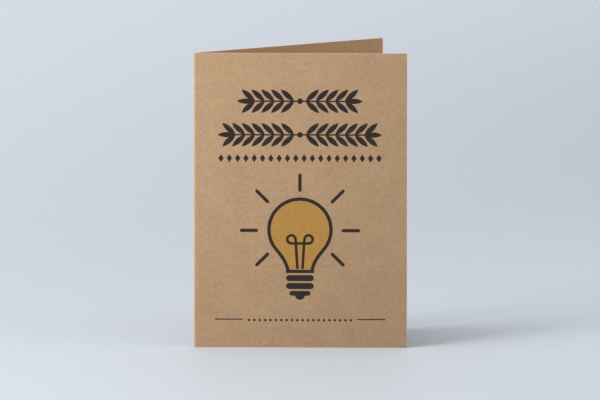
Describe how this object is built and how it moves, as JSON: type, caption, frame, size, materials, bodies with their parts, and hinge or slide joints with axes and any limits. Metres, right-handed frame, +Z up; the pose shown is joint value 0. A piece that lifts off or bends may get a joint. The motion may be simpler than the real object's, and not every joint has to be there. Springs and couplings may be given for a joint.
{
  "type": "greeting card",
  "caption": "Folded greeting card of brown kraft card stock, standing ajar on its lower edges, with a creased spine and a printed cover.",
  "frame": {"origin": "middle of the card's footprint, on the surface it stands on", "axes": "+Z up along the fold, -Y out of the cover, +X from the fold towards the cover's free edge"},
  "size_m": [0.127, 0.0612, 0.1778],
  "materials": {
    "kraft_card": "matte",
    "dark_ink": "matte",
    "amber_ink": "matte"
  },
  "bodies": {
    "root": {"folded_card": "kraft_card"}
  },
  "joints": []
}
